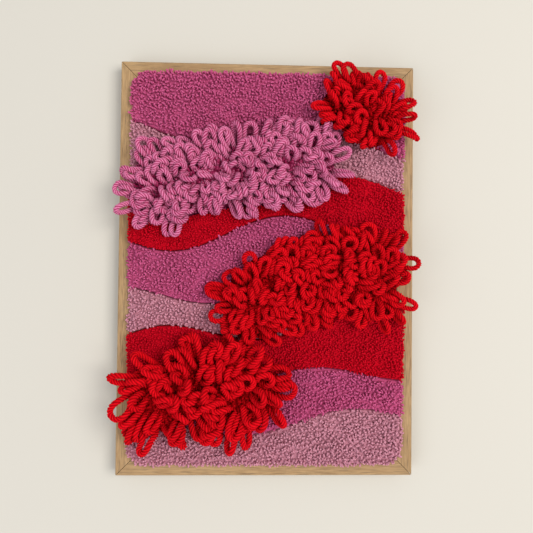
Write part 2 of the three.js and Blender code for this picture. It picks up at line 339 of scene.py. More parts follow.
def weave_material():
    material, tree, shader = new_material("ground_cloth", Roughness=0.95)
    inputs = {
        "Vector": object_place(tree),
        "Scale": WAVE_BAND / THREAD,
        "Distortion": 0.6,
        "Detail Scale": 2.0,
    }
    waves = [node(tree, "ShaderNodeTexWave", inputs, bands_direction=way).outputs[1] for way in "XY"]
    weave = times(tree, *waves)
    colour = mixed(tree, weave, CLOTH_DARK, CLOTH_LIGHT)
    give_surface(tree, shader, colour, weave, strength=0.6, distance=0.4 * MM)
    return material


def mesh_of(name, shape):
    mesh = bpy.data.meshes.new(name)
    shape.to_mesh(mesh)
    shape.free()
    return mesh


def link_mesh(name, mesh, material):
    mesh.materials.clear()
    mesh.materials.append(material)
    mesh.polygons.foreach_set("material_index", [0] * len(mesh.polygons))
    return link_object(name, mesh)


def stretched_cloth():
    size = cloth_high - cloth_low
    shape = bmesh.new()
    bmesh.ops.create_grid(shape, x_segments=24, y_segments=34, size=0.5)
    shape.transform(Matrix.Diagonal((size[0], size[1], 1, 1)))
    shape.transform(Matrix.Translation((0, 0, cloth_high[2])))
    piece = link_mesh("stretched_cloth", mesh_of("stretched_cloth", shape), weave_material())
    solid = piece.modifiers.new("thickness", "SOLIDIFY")
    solid.thickness = size[2]
    solid.offset = -1
    print("cloth in mm:", [round(length / MM, 1) for length in size])
    return piece


ground = stretched_cloth()
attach(ground, "root")
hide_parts("tufting_cloth")

# %% [markdown]
# All the yarn is wool, so one group gives it its life: a broad drift in tone, the tone of each
# tuft or loop, a fine grain of fibres, and painted shade, a darker, more saturated colour deep in a
# groove, where light only arrives after it has passed through other wool. The darker colour also
# takes part in the random tone. One flat colour for each yarn would be simpler, but it makes wool
# look like plastic.

# %% Wool group
WOOL_DRIFT_SCALE = 38.0
OWN_TONE = 0.45
DRIFT_TONE = 0.5
FIBRE_TONE = 1.1
MIDDLE_TONE = 0.9
TONE_IN_DEPTH = 0.6


def wool_group():
    tree, given, out = new_group(
        "wool",
        "ShaderNodeTree",
        [
            ("Lit", COLOUR, (0.8, 0.3, 0.4, 1)),
            ("Dark Tone And Shade", COLOUR, (0.3, 0.05, 0.1, 1)),
            ("Depth", NUMBER, 0.0),
            ("Fibre Scale", NUMBER, 900.0),
        ],
        [("Color", COLOUR, None), ("Height", NUMBER, None)],
    )
    place = object_place(tree)
    drift = noise(tree, WOOL_DRIFT_SCALE, detail=2.0, Vector=place)
    fibre = noise(tree, given["Fibre Scale"], detail=3.0, Vector=place)
    tone_and_painted_light = plus(tree, times(tree, attribute(tree, "tone_and_painted_light"), OWN_TONE), times(tree, drift, DRIFT_TONE))
    tone_and_painted_light = plus(tree, tone_and_painted_light, times(tree, fibre, FIBRE_TONE))
    tone_and_painted_light = minus(tree, tone_and_painted_light, MIDDLE_TONE)
    # Painted shade: the darker colour is mixed in by the given share of shade, on top of the random tone.
    shade_share = plus(tree, times(tree, tone_and_painted_light, TONE_IN_DEPTH), given["Depth"])
    shade_share = node(tree, "ShaderNodeClamp", {"Value": shade_share}).outputs[0]
    tree.links.new(mixed(tree, shade_share, given["Lit"], given["Dark Tone And Shade"]), out["Color"])
    tree.links.new(fibre, out["Height"])
    print("wool group has", len(tree.nodes), "nodes")
    return tree


WOOL = wool_group()

# %% [markdown]
# Wool is matt. The pinks also have a soft glow at grazing angles, which the sheen of the Principled
# shader gives, and on the reds it would wash the colour out. Each yarn has a lit colour and a darker
# one for painted shade. The groove value is written by the geometry: 0 on a strand's crest or tip,
# 1 in its depths, and it sets how much painted shade falls there.

# %% Wool materials
# Each yarn has a lit colour and a darker one; the darker one is painted shade where the wool lies deep,
# and it also carries part of the random tone.
WOOL_COLOURS = {
    "pale_pile": {"lit": (0.64, 0.29, 0.365), "dark_tone_and_shade": (0.36, 0.13, 0.175), "sheen": 0.2},
    "magenta_pile": {"lit": (0.60, 0.112, 0.26), "dark_tone_and_shade": (0.31, 0.03, 0.095), "sheen": 0.15},
    "red_pile": {"lit": (0.64, 0.003, 0.018), "dark_tone_and_shade": (0.33, 0.0, 0.004), "sheen": 0.0},
    "pink_yarn": {"lit": (0.74, 0.215, 0.385), "dark_tone_and_shade": (0.31, 0.015, 0.08), "sheen": 0.15},
    "red_yarn": {"lit": (0.76, 0.003, 0.010), "dark_tone_and_shade": (0.31, 0.0, 0.002), "sheen": 0.0},
}


def wool_material(name, fibre_scale, groove_painted_shade, least_painted_shade=0.0):
    colours = WOOL_COLOURS[name]
    lit, dark_tone_and_shade = (*colours["lit"], 1), (*colours["dark_tone_and_shade"], 1)
    material, tree, shader = new_material(
        name,
        Roughness=0.9,
        Specular_IOR_Level=0.06,
        Sheen_Weight=colours["sheen"],
        Sheen_Roughness=0.5,
        Sheen_Tint=lit,
    )
    # Painted shade: deeper in a groove, and on a dome from the start, the colour moves towards the darker
    # one.
    shade_share = plus(tree, times(tree, attribute(tree, "groove_and_painted_shade"), groove_painted_shade), least_painted_shade)
    inputs = {"Lit": lit, "Dark Tone And Shade": dark_tone_and_shade, "Depth": shade_share, "Fibre Scale": fibre_scale}
    wool = node(tree, "ShaderNodeGroup", inputs, node_tree=WOOL).outputs
    give_surface(tree, shader, wool["Color"], wool["Height"], strength=0.8, distance=0.5 * MM)
    return material


# %% [markdown]
# Geometry Nodes grow what repeats. This helper runs a tree on an object, turns the result into
# a plain mesh with nothing live left on it, and prints how many triangles it has. A modifier's
# inputs are set by the identifiers of their sockets, not by their names.

# %% Running a Geometry Nodes tree


def geometry_group(name, inputs):
    geometry = ("Geometry", "NodeSocketGeometry", None)
    return new_group(name, "GeometryNodeTree", [geometry, *inputs], [geometry])


def grown(name, source_mesh, tree, values, material):
    source = link_object(name + "_source", source_mesh)
    modifier = source.modifiers.new("grow", "NODES")
    modifier.node_group = tree
    sockets = {s.name: s.identifier for s in tree.interface.items_tree if s.in_out == "INPUT"}
    for label, value in {**values, "Material": material}.items():
        modifier[sockets[label]] = value
    graph = bpy.context.evaluated_depsgraph_get()
    mesh = bpy.data.meshes.new_from_object(source.evaluated_get(graph), depsgraph=graph)
    mesh.name = name
    bpy.data.objects.remove(source)
    bpy.data.meshes.remove(source_mesh)
    mesh.calc_loop_triangles()
    print(name, "has", len(mesh.loop_triangles), "triangles")
    return link_mesh(name, mesh, material)


# %% [markdown]
# There are two trees, the pile and the plied yarn. Both store numbers on their points, move them,
# sweep a section along a curve and end in Realize Instances and Set Material, so that the mesh is
# whole and wears its own wool. What is random in the pile has a fixed seed.

# %% Steps that both trees share


def store(tree, geometry, name, value):
    inputs = {"Geometry": geometry, "Name": name, "Value": value}
    kind = {"data_type": "FLOAT", "domain": "POINT"}
    return node(tree, "GeometryNodeStoreNamedAttribute", inputs, **kind).outputs[0]


def random_value(tree, low, high, seed, data_type="FLOAT"):
    made = node(tree, "FunctionNodeRandomValue", {"Seed": seed}, data_type=data_type)
    ends = [s for s in made.inputs if s.enabled and s.name in ("Min", "Max")]
    for socket, value in zip(ends, (low, high)):
        socket.default_value = value
    return next(s for s in made.outputs if s.enabled)


def point_place(tree):
    return node(tree, "GeometryNodeInputPosition").outputs[0]


def parts_of(tree, vector):
    return node(tree, "ShaderNodeSeparateXYZ", {0: vector}).outputs


def moved(tree, geometry, offset):
    return node(tree, "GeometryNodeSetPosition", {"Geometry": geometry, "Offset": offset}).outputs[0]


def swept(tree, curve, profile, scale):
    inputs = {"Curve": curve, "Profile Curve": profile, "Scale": scale, "Fill Caps": True}
    body = node(tree, "GeometryNodeCurveToMesh", inputs).outputs[0]
    return node(tree, "GeometryNodeSetShadeSmooth", {"Geometry": body}).outputs[0]


def realized(tree, geometry):
    return node(tree, "GeometryNodeRealizeInstances", {0: geometry}).outputs[0]


def end_tree(tree, geometry, given, out):
    inputs = {"Geometry": realized(tree, geometry), "Material": given["Material"]}
    done = node(tree, "GeometryNodeSetMaterial", inputs).outputs[0]
    tree.links.new(done, out["Geometry"])
    print("the tree", tree.name, "has", len(tree.nodes), "nodes")


# %% [markdown]
# Short pile is thousands of cut yarn ends. They could be laid out by hand. Here points are
# scattered over the CAD slab of each band, none nearer to the next than the spacing of the tufts,
# because a tufting tool punches at an even pace. Only faces that look up get tufts, and past the
# frame's inner edge the slab's rounded sides get them too, so that the pile splays over the bars.
# Two noises lift the points, one in wide swells and one in small bunches, and a bunch that stands
# high gets painted light: its colour is made lighter.

# %% Where the tufts stand
SIDE_ALLOWANCE = 0.7
MOST_TUFTS = 2000000.0
SWELL_SCALE = 75.0
SWELL_HEIGHT = 2.8 * MM
BUNCH_SCALE = 430.0
BUNCH_HEIGHT = 2.6 * MM
TUFT_TONES = (0.85, 1.45)
BUNCH_PAINTED_LIGHT = 1.3
TONE_SEED = 3


def past_rim(tree, given):
    at = parts_of(tree, point_place(tree))
    past = []
    for axis in "XY":
        distance = math_node(tree, "ABSOLUTE", at[axis])
        past.append(math_node(tree, "GREATER_THAN", distance, given["Rim " + axis]))
    return math_node(tree, "MAXIMUM", *past)


def tuft_roots(tree, given):
    normal = node(tree, "GeometryNodeInputNormal").outputs[0]
    upness = parts_of(tree, normal)["Z"]
    allowed = plus(tree, upness, times(tree, past_rim(tree, given), SIDE_ALLOWANCE))
    inputs = {
        "Mesh": given["Geometry"],
        "Selection": math_node(tree, "GREATER_THAN", allowed, given["Least Up"]),
        "Distance Min": given["Spacing"],
        "Density Max": MOST_TUFTS,
        "Seed": given["Seed"],
    }
    kind = "GeometryNodeDistributePointsOnFaces"
    scatter = node(tree, kind, inputs, distribute_method="POISSON").outputs
    bunches = noise(tree, BUNCH_SCALE, detail=0.0)
    swell = times(tree, minus(tree, noise(tree, SWELL_SCALE, detail=1.0), NOISE_MIDDLE), SWELL_HEIGHT)
    bunch = times(tree, minus(tree, bunches, NOISE_MIDDLE), BUNCH_HEIGHT)
    rise = vector_math(tree, "SCALE", scatter["Normal"], plus(tree, swell, bunch))
    own = random_value(tree, *TUFT_TONES, TONE_SEED)
    # Painted light: a bunch that stands high is made lighter, on top of each tuft's random tone.
    tone_and_painted_light = minus(tree, own, times(tree, bunches, BUNCH_PAINTED_LIGHT))
    return store(tree, moved(tree, scatter["Points"], rise), "tone_and_painted_light", tone_and_painted_light), scatter["Normal"]


# %% [markdown]
# A cut end is a short strand that leans its own way and curls a little towards its tip. One stem is
# copied onto every point, turned and scaled there, and made real. Then a noise bends all stems, more
# towards the tip, so that neighbours bend alike as combed wool does. A cut end has only four sides,
# because thousands of them stand together.

# %% Shape of a tuft
STEM_POINTS = 3
SWAY_LOW = (-1.0, -1.0, -0.3)
SWAY_HIGH = (1.0, 1.0, 0.3)
SWAY_SEED = 5
TUFT_LENGTHS = (0.8, 1.2)
LENGTH_SEED = 7
SIDE_LENGTH = 0.55
TOP_LENGTH = 0.45
CURL_SCALE = 330.0
CURL_POWER = 1.5
CURL_REACH = 1.6
TUFT_SIDES = 4
TUFT_FOOT = (0.0, 0.85)
TUFT_WAIST = (0.5, 1.0)
TUFT_TIP = (1.0, 0.68)


def tuft_stems(tree, given, points, normal):
    line = node(tree, "GeometryNodeCurvePrimitiveLine", {"End": (0, 0, 1)}).outputs[0]
    stem = node(tree, "GeometryNodeResampleCurve", {"Curve": line, "Count": STEM_POINTS}).outputs[0]
    sway = random_value(tree, SWAY_LOW, SWAY_HIGH, SWAY_SEED, "FLOAT_VECTOR")
    direction = vector_math(tree, "ADD", normal, vector_math(tree, "SCALE", sway, given["Lean"]))
    turn = node(tree, "FunctionNodeAlignRotationToVector", {"Vector": direction}, axis="Z").outputs[0]
    length = times(tree, given["Length"], random_value(tree, *TUFT_LENGTHS, LENGTH_SEED))
    on_top = plus(tree, times(tree, parts_of(tree, normal)["Z"], TOP_LENGTH), SIDE_LENGTH)
    size = times(tree, length, on_top)
    inputs = {"Points": points, "Instance": stem, "Rotation": turn, "Scale": size}
    return realized(tree, node(tree, "GeometryNodeInstanceOnPoints", inputs).outputs[0])


def curled(tree, given, stems):
    share = node(tree, "GeometryNodeSplineParameter").outputs["Factor"]
    inputs = {"Vector": point_place(tree), "Scale": CURL_SCALE, "Detail": 0.0}
    drift = node(tree, "ShaderNodeTexNoise", inputs).outputs[1]
    curl = vector_math(tree, "SUBTRACT", drift, [NOISE_MIDDLE] * 3)
    reach = times(tree, math_node(tree, "POWER", share, CURL_POWER), given["Length"])
    curl = vector_math(tree, "SCALE", curl, times(tree, reach, CURL_REACH))
    # Painted shade: a tuft is darkest at its foot and has none at its tip.
    return store(tree, moved(tree, stems, curl), "groove_and_painted_shade", minus(tree, 1.0, share))


def tuft_bodies(tree, given, stems):
    share = node(tree, "GeometryNodeSplineParameter").outputs["Factor"]
    taper = node(tree, "ShaderNodeFloatCurve", {"Value": share})
    curve = taper.mapping.curves[0]
    for point, place in zip(curve.points, (TUFT_FOOT, TUFT_TIP)):
        point.location = place
    curve.points.new(*TUFT_WAIST)
    taper.mapping.update()
    inputs = {"Resolution": TUFT_SIDES, "Radius": 0.5}
    profile = node(tree, "GeometryNodeCurvePrimitiveCircle", inputs).outputs[0]
    return swept(tree, stems, profile, times(tree, taper.outputs[0], given["Thickness"]))


# %% [markdown]
# The pile tree joins those parts to the slab. The slab itself sinks by the ground drop and fills
# the gaps between the strands with wool in full painted shade.

# %% Pile tree


def pile_tree():
    tree, given, out = geometry_group(
        "short_pile",
        [
            ("Spacing", NUMBER, 2.0 * MM),
            ("Length", NUMBER, 4.0 * MM),
            ("Thickness", NUMBER, 1.8 * MM),
            ("Lean", NUMBER, 0.5),
            ("Ground Drop", NUMBER, 1.0 * MM),
            ("Least Up", NUMBER, 0.5),
            ("Rim X", NUMBER, 1.0),
            ("Rim Y", NUMBER, 1.0),
            ("Seed", "NodeSocketInt", 0),
            ("Material", "NodeSocketMaterial", None),
        ],
    )
    points, normal = tuft_roots(tree, given)
    stems = curled(tree, given, tuft_stems(tree, given, points, normal))
    drop = vector_math(tree, "SCALE", (0.0, 0.0, -1.0), given["Ground Drop"])
    both = node(tree, "GeometryNodeJoinGeometry")
    # Painted shade: the sunk slab counts as deepest, so it takes the full darker colour.
    tree.links.new(store(tree, moved(tree, given["Geometry"], drop), "groove_and_painted_shade", 1.0), both.inputs[0])
    tree.links.new(tuft_bodies(tree, given, stems), both.inputs[0])
    end_tree(tree, both.outputs[0], given, out)
    return tree


PILE = pile_tree()

# %% [markdown]
# Each band is a field of one colour, sheared to one height. It grows on a merged copy of its CAD
# slab and stands for that node. Where a cloud of loops cuts a band in two or three, the CAD has a
# node for each part, and they share one piece here. The red pile is finer and shorter than the rest.

# %% Bands of short pile
BANDS = {
    "pale_pile_bottom": "pale_pile",
    "magenta_pile_low": "magenta_pile",
    "red_pile_low": "red_pile",
    "pale_pile_middle": "pale_pile",
    "magenta_pile_middle": "magenta_pile",
    "red_pile_high": "red_pile",
    "pale_pile_high": "pale_pile",
    "magenta_pile_top": "magenta_pile",
}
PILE_SIZES = {
    "pale_pile": {"Spacing": 1.6 * MM, "Length": 2.6 * MM, "Thickness": 1.95 * MM, "Lean": 0.6},
    "magenta_pile": {"Spacing": 1.52 * MM, "Length": 2.5 * MM, "Thickness": 1.85 * MM, "Lean": 0.55},
    "red_pile": {"Spacing": 1.26 * MM, "Length": 2.1 * MM, "Thickness": 1.5 * MM, "Lean": 0.4},
}
RIM_X, RIM_Y = map(float, OPENING + MM)
BAND_SETTINGS = {"Ground Drop": 0.5 * MM, "Least Up": 0.5, "Rim X": RIM_X, "Rim Y": RIM_Y}
MERGE_DISTANCE = 0.02 * MM
PILE_MATERIALS = {
    name: wool_material(name, fibre_scale=1300.0, groove_painted_shade=0.5) for name in PILE_SIZES
}


def merged_copy(names):
    shape = bmesh.new()
    for name in names:
        shape.from_mesh(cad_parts[name].data)
    bmesh.ops.remove_doubles(shape, verts=shape.verts, dist=MERGE_DISTANCE)
    return mesh_of("slab", shape)


for seed, (band, yarn) in enumerate(BANDS.items()):
    slabs = [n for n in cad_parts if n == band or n.startswith(band + "_part_")]
    values = {**PILE_SIZES[yarn], **BAND_SETTINGS, "Seed": seed}
    piece = grown(band + "_yarn", merged_copy(slabs), PILE, values, PILE_MATERIALS[yarn])
    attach(piece, "root")
    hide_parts(*slabs)

# %% [markdown]
# A cloud is a patch where the maker left long loops standing. It follows a line across the picture
# and has a half width round it. The lines are those of the CAD model, and like all sizes in this
# list they are in millimetres. A smooth curve through their points is sampled densely, and
# everything else in a cloud asks only how far a place is from that curve, as a share of the half
# width, and which way it lies.

# %% Clouds
CLOUDS = [
    {
        "name": "pink_loops", "yarn": "pink_yarn", "slot": "pink_loop_yarn",
        "line": [(-80, 60), (-46, 70), (-8, 72), (26, 82)], "half_width": 25,
        "strand": 4.0, "length": 17.5, "spacing": 6.8, "seed": 11,
    },
    {
        "name": "red_loops", "yarn": "red_yarn", "slot": "red_loop_yarn",
        "line": [(-6, -26), (24, -8), (54, -2), (82, -6)], "half_width": 27,
        "strand": 4.0, "length": 17.5, "spacing": 6.9, "seed": 23,
    },
    {
        "name": "thick_red_loops", "yarn": "red_yarn", "slot": "thick_red_yarn",
        "line": [(-80, -98), (-48, -90), (-14, -94)], "half_width": 24,
        "strand": 4.8, "length": 23, "spacing": 8.4, "seed": 37,
    },
    {
        "name": "red_corner_loops", "yarn": "red_yarn", "slot": "red_loop_yarn",
        "line": [(64, 128), (82, 116)], "half_width": 20,
        "strand": 4.0, "length": 17.5, "spacing": 6.9, "seed": 51,
    },
]
LINE_SAMPLES = 60
JUST_SHORT = 1e-9
TINY = 1e-6


def smooth_line(knots):
    knots = np.array(knots, float)
    knots = np.vstack([2 * knots[0] - knots[1], knots, 2 * knots[-1] - knots[-2]])
    at = np.linspace(0, len(knots) - 3 - JUST_SHORT, LINE_SAMPLES)
    index = at.astype(int)
    t = (at - index)[:, None]
    a, b, c, d = (knots[index + k] for k in range(4))
    bend = (2 * a - 5 * b + 4 * c - d) * t**2
    twist = (3 * b - a - 3 * c + d) * t**3
    return 0.5 * (2 * b + (c - a) * t + bend + twist) * MM


LINES = {cloud["name"]: smooth_line(cloud["line"]) for cloud in CLOUDS}


def from_line(cloud, places):
    offsets = places[:, None, :2] - LINES[cloud["name"]][None]
    distances = np.linalg.norm(offsets, axis=2)
    nearest = distances.argmin(axis=1)
    rows = np.arange(len(places))
    distance = distances[rows, nearest]
    outward = offsets[rows, nearest] / np.maximum(distance, TINY)[:, None]
    return distance / (cloud["half_width"] * MM), outward


print("clouds and their half widths in mm:", {c["name"]: c["half_width"] for c in CLOUDS})

# %% [markdown]
# The body of a cloud is a low dome of short pile in the same yarn. It closes the view down to the
# cloth between the loops. Its height is a formula: level in the middle, falling near the rim. Just
# outside the cloud a lower skirt has to cover the cloth wherever no band does. Rays cast down at a
# place and close round it tell whether a band lies there.

# %% Height of a dome
DOME_STEP = 2.5 * MM
DOME_REACH = 1.05
DOME_FOOT = cloth_high[2] + 0.3 * MM
DOME_RIM = 19.5 * MM
DOME_CROWN = 27.5 * MM
DOME_FALL = 3
SKIRT_REACH = 1.6
SKIRT_HEIGHT = 17 * MM
PROBE = 0.8 * MM
PROBES = [(0, 0), (PROBE, 0), (-PROBE, 0), (0, PROBE), (0, -PROBE)]
PROBE_HEIGHT = 0.1
STEPS_ROUND = [(i * DOME_STEP, j * DOME_STEP) for i in (-1, 0, 1) for j in (-1, 0, 1)]
CLOTH_MARGIN = 2 * MM
DOME_MARGIN = 1 * MM


def dome_height(share):
    fall = np.clip(share, 0, 1) ** DOME_FALL
    return DOME_CROWN + (DOME_RIM - DOME_CROWN) * fall


def band_cover():
    shape = bmesh.new()
    for name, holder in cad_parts.items():
        if "_pile_" in name:
            shape.from_mesh(holder.data)
    print("bands that cover the cloth have", len(shape.faces), "faces")
    cover = BVHTree.FromBMesh(shape)
    shape.free()
    return cover


COVER = band_cover()


def is_bare(x, y):
    down = Vector((0, 0, -1))
    starts = [Vector((x + dx, y + dy, PROBE_HEIGHT)) for dx, dy in PROBES]
    return all(COVER.ray_cast(start, down)[0] is None for start in starts)


def beside_bare(x, y):
    around = [(x + dx, y + dy) for dx, dy in STEPS_ROUND]
    return any(inside_opening(place, CLOTH_MARGIN) and is_bare(*place) for place in around)


def top_height(cloud, x, y):
    if not inside_opening((x, y), DOME_MARGIN):
        return None
    place = np.array([[x, y]])
    shares = {other["name"]: float(from_line(other, place)[0][0]) for other in CLOUDS}
    share = shares[cloud["name"]]
    if share < DOME_REACH:
        return float(dome_height(share))
    if share < SKIRT_REACH and share == min(shares.values()) and beside_bare(x, y):
        return SKIRT_HEIGHT
    return None


# %% [markdown]
# A dome could be sculpted, but a grid of points dropped onto that formula gives the same and can be
# measured. Where four neighbours have a height there is a face. Walls run from the rim down to just
# above the cloth, and the dome is closed below. The walls are made one by one in the rim's order,
# because the extrude tool makes them in another order each time, and tufts scattered over them
# would never fall twice the same.

# %% Mesh of a dome
GRID_MARGIN = 14
RING = [(0, 0), (1, 0), (1, 1), (0, 1)]


def dome_top(cloud, shape):
    margin = (cloud["half_width"] + GRID_MARGIN) * MM
    line = LINES[cloud["name"]]
    low, high = line.min(axis=0) - margin, line.max(axis=0) + margin
    counts = np.ceil((high - low) / DOME_STEP).astype(int) + 1
    grid = {}
    filled = 0
    for i, j in np.ndindex(*counts):
        x, y = low + np.array((i, j)) * DOME_STEP
        height = top_height(cloud, x, y)
        if height is not None:
            grid[i, j] = shape.verts.new((x, y, height))
            filled += height == SKIRT_HEIGHT
    for i, j in grid:
        corners = [grid.get((i + di, j + dj)) for di, dj in RING]
        if all(corners):
            shape.faces.new(corners)
    print(cloud["name"], "dome has", len(grid), "points,", filled, "of them over bare cloth")


def close_below(shape):
    rim = [e for e in shape.edges if e.is_boundary]
    feet = {}
    for vert in [v for e in rim for v in e.verts]:
        if vert not in feet:
            feet[vert] = shape.verts.new((vert.co.x, vert.co.y, DOME_FOOT))
    for first, second in [e.verts for e in rim]:
        shape.faces.new((first, second, feet[second], feet[first]))
    bmesh.ops.holes_fill(shape, edges=[e for e in shape.edges if e.is_boundary])
    bmesh.ops.recalc_face_normals(shape, faces=shape.faces)


def dome_mesh(cloud):
    shape = bmesh.new()
    dome_top(cloud, shape)
    loose = [v for v in shape.verts if not v.link_faces]
    bmesh.ops.delete(shape, geom=loose, context="VERTS")
    close_below(shape)
    return mesh_of(cloud["name"] + "_dome", shape)


# %% [markdown]
# The pile tree grows on a dome as it does on a band, only coarser and also on its steep sides. The
# wool of a dome starts out with painted shade, standing in for the shade that the loops cast on it.

# %% Domes under the loops
YARN_MATERIALS = {
    name: wool_material(name, fibre_scale=1500.0, groove_painted_shade=1.1) for name in ("pink_yarn", "red_yarn")
}
# Painted shade: a dome's wool is darkened from the start, for the shade of the loops above it.
DOME_MATERIALS = {
    name: wool_material(name, fibre_scale=1500.0, groove_painted_shade=0.6, least_painted_shade=0.75)
    for name in YARN_MATERIALS
}
DOME_PILE = {
    "Spacing": 2.2 * MM,
    "Length": 3.2 * MM,
    "Thickness": 2.2 * MM,
    "Lean": 0.7,
    "Ground Drop": 1.0 * MM,
    "Least Up": -0.1,
}

for cloud in CLOUDS:
    values = {**DOME_PILE, "Seed": cloud["seed"]}
    dome = grown(cloud["name"] + "_ground", dome_mesh(cloud), PILE, values, DOME_MATERIALS[cloud["yarn"]])
    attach(dome, "root")

# %% [markdown]
# The loops' roots stand on a loose hexagonal grid, which is how rows of tufting fall, with every
# second row shifted. Near the frame a root counts as standing at the rim of its cloud, and its loop
# is drawn towards the frame, so that loops lie out over the bars there.

# %% Roots of the loops
ROOT_REACH = 0.9
ROOT_DRIFT = 0.28
ROOT_MARGIN = 3 * MM
EDGE_ZONE = 22 * MM
EDGE_PULL = 1.6


def hexagonal_roots(cloud, rng):
    step = cloud["spacing"] * MM
    knots = np.array(cloud["line"]) * MM
    margin = cloud["half_width"] * MM
    low, high = knots.min(axis=0) - margin, knots.max(axis=0) + margin
    places = []
    for row, y in enumerate(np.arange(low[1], high[1], step * math.sqrt(3) / 2)):
        shift = step / 2 if row % 2 else 0
        places += [(x + shift, y) for x in np.arange(low[0], high[0], step)]
    places = np.array(places) + rng.uniform(-ROOT_DRIFT, ROOT_DRIFT, (len(places), 2)) * step
    share, outward = from_line(cloud, places)
    keep = (share < ROOT_REACH) & inside_opening(places, ROOT_MARGIN)
    return places[keep], share[keep], outward[keep]


def drawn_to_edge(roots, share, outward):
    near = np.clip(1 - (OPENING - np.abs(roots)) / EDGE_ZONE, 0, 1)
    outward = outward + EDGE_PULL * near * np.sign(roots)
    outward = outward / np.linalg.norm(outward, axis=1)[:, None]
    return np.maximum(share, near.max(axis=1)), outward


# %% [markdown]
# A loop starts as a slim teardrop of yarn. It leaves the cloth almost upright and arches over, the
# further the nearer it stands to the rim, so that the rim loops lie outwards over the pile and the
# frame. The teardrop is drawn on a spine: out along it and back, with an eye near its end.

# %% Shape of one loop
LOOP_POINTS = 25
ARCH_STEPS = 32
EYE_WIDTH = 0.8
UP = np.array((0.0, 0.0, 1.0))
ALONG_SPINE = np.linspace(0, 1, ARCH_STEPS + 1)
TURN = np.linspace(0, 2 * math.pi, LOOP_POINTS)
OUT_SHARE = (1 - np.cos(TURN)) / 2
ASIDE_SHARE = np.sin(TURN) * np.sin(TURN / 2) ** 3 * EYE_WIDTH


def one_loop(strand, lean, length, width, start_rise, end_rise, roll):
    rise = start_rise + (end_rise - start_rise) * ALONG_SPINE
    heading = np.cos(rise)[:, None] * lean + np.sin(rise)[:, None] * UP
    arch = np.vstack([np.zeros(3), np.cumsum(heading[:-1], axis=0)]) * length / ARCH_STEPS
    side = np.cross(lean, UP)
    face = np.cross(heading, side)
    loop = np.zeros((LOOP_POINTS, 3))
    for axis in range(3):
        spine = np.interp(OUT_SHARE, ALONG_SPINE, arch[:, axis])
        across = np.interp(OUT_SHARE, ALONG_SPINE, face[:, axis])
        sideways = math.cos(roll) * side[axis] + math.sin(roll) * across
        loop[:, axis] = spine + sideways * ASIDE_SHARE * width
    gap = strand * 0.5 * side
    return loop + np.cos(TURN / 2)[:, None] * gap


# %% [markdown]
# No two loops are alike, and yet neighbours lean alike. A slow swirl over the cloud turns them
# together and a random part turns each, most in the middle. Length, width, rise and roll are drawn
# from ranges, with the rises in degrees from the level.

# %% First shape of the loops
SWIRL = 0.9
SWIRL_X = 19 * MM
SWIRL_Y = 15 * MM
OWN_TURN = 0.85
OWN_TURN_REACH = 1.2
LOOP_LENGTHS = (0.85, 1.15)
MIDDLE_LENGTH = 0.92
RIM_EXTRA = 0.46
LOOP_WIDTHS = (1.3, 2.4)
START_RISES = (66, 88)
END_RISE = 26
RIM_FALL = 46
END_SPREAD = (-26, 30)
MOST_ROLL = 1.5
ROOT_DEPTH = 4 * MM


def turned(vectors, angles):
    cos, sin = np.cos(angles), np.sin(angles)
    x, y = vectors[:, 0], vectors[:, 1]
    return np.stack([x * cos - y * sin, x * sin + y * cos], axis=1)


def leans(cloud, rng, roots, share, outward):
    wave_x = np.sin(roots[:, 0] / SWIRL_X + cloud["seed"])
    wave_y = np.cos(roots[:, 1] / SWIRL_Y)
    swirl = SWIRL * wave_x * wave_y + rng.normal(0, OWN_TURN, len(roots)) * (OWN_TURN_REACH - share)
    return np.column_stack([turned(outward, swirl), np.zeros(len(roots))])


def first_loops(cloud):
    rng = np.random.default_rng(cloud["seed"])
    roots, dome_share, outward = hexagonal_roots(cloud, rng)
    share, outward = drawn_to_edge(roots, dome_share, outward)
    count = len(roots)
    strand = cloud["strand"] * MM
    lean = leans(cloud, rng, roots, share, outward)
    length = cloud["length"] * MM * rng.uniform(*LOOP_LENGTHS, count)
    length = length * (MIDDLE_LENGTH + RIM_EXTRA * share**2)
    width = strand * rng.uniform(*LOOP_WIDTHS, count)
    start_rise = np.radians(rng.uniform(*START_RISES, count))
    end_rise = np.radians(END_RISE - RIM_FALL * share + rng.uniform(*END_SPREAD, count))
    roll = rng.uniform(-MOST_ROLL, MOST_ROLL, count)
    each = zip(lean, length, width, start_rise, end_rise, roll)
    loops = np.array([one_loop(strand, *own) for own in each])
    base = dome_height(dome_share) - ROOT_DEPTH
    loops[:, :, :2] += roots[:, None]
    loops[:, :, 2] += base[:, None]
    return loops


loops = [first_loops(cloud) for cloud in CLOUDS]
print("loops:", [len(some) for some in loops])

# %% [markdown]
# Real loops push each other aside. A simulation could do that, but a few simple steps are enough.
# Points of different loops that are closer than a strand is thick move apart. Then the pieces of
# every loop get their length back and its kinks are smoothed. Nothing may sink far into the pile,
# the dome or the frame.

# %% Steps that make room
TOUCHING = 0.94
PUSH = 0.32
LONGEST_MOVE = 0.9 * MM
SEARCH_REACH = 6 * MM
OWN_REACH = 6
LENGTH_ROUNDS = 3
LENGTH_SHARE = 0.9
SMOOTHING = 0.12
PILE_TOP = 20.5 * MM
PILE_OVERHANG = 2 * MM
DRAPE = 8 * MM
DOME_SINK = 1.5 * MM


def close_pairs(points, owner, along):
    tree = kdtree.KDTree(len(points))
    for index, point in enumerate(points):
        tree.insert(point, index)
    tree.balance()
    pairs = []
    for index, point in enumerate(points):
        for _, other, _ in tree.find_range(point, SEARCH_REACH):
            apart = owner[other] != owner[index] or abs(along[other] - along[index]) > OWN_REACH
            if other > index and apart:
                pairs.append((index, other))
    return np.array(pairs)


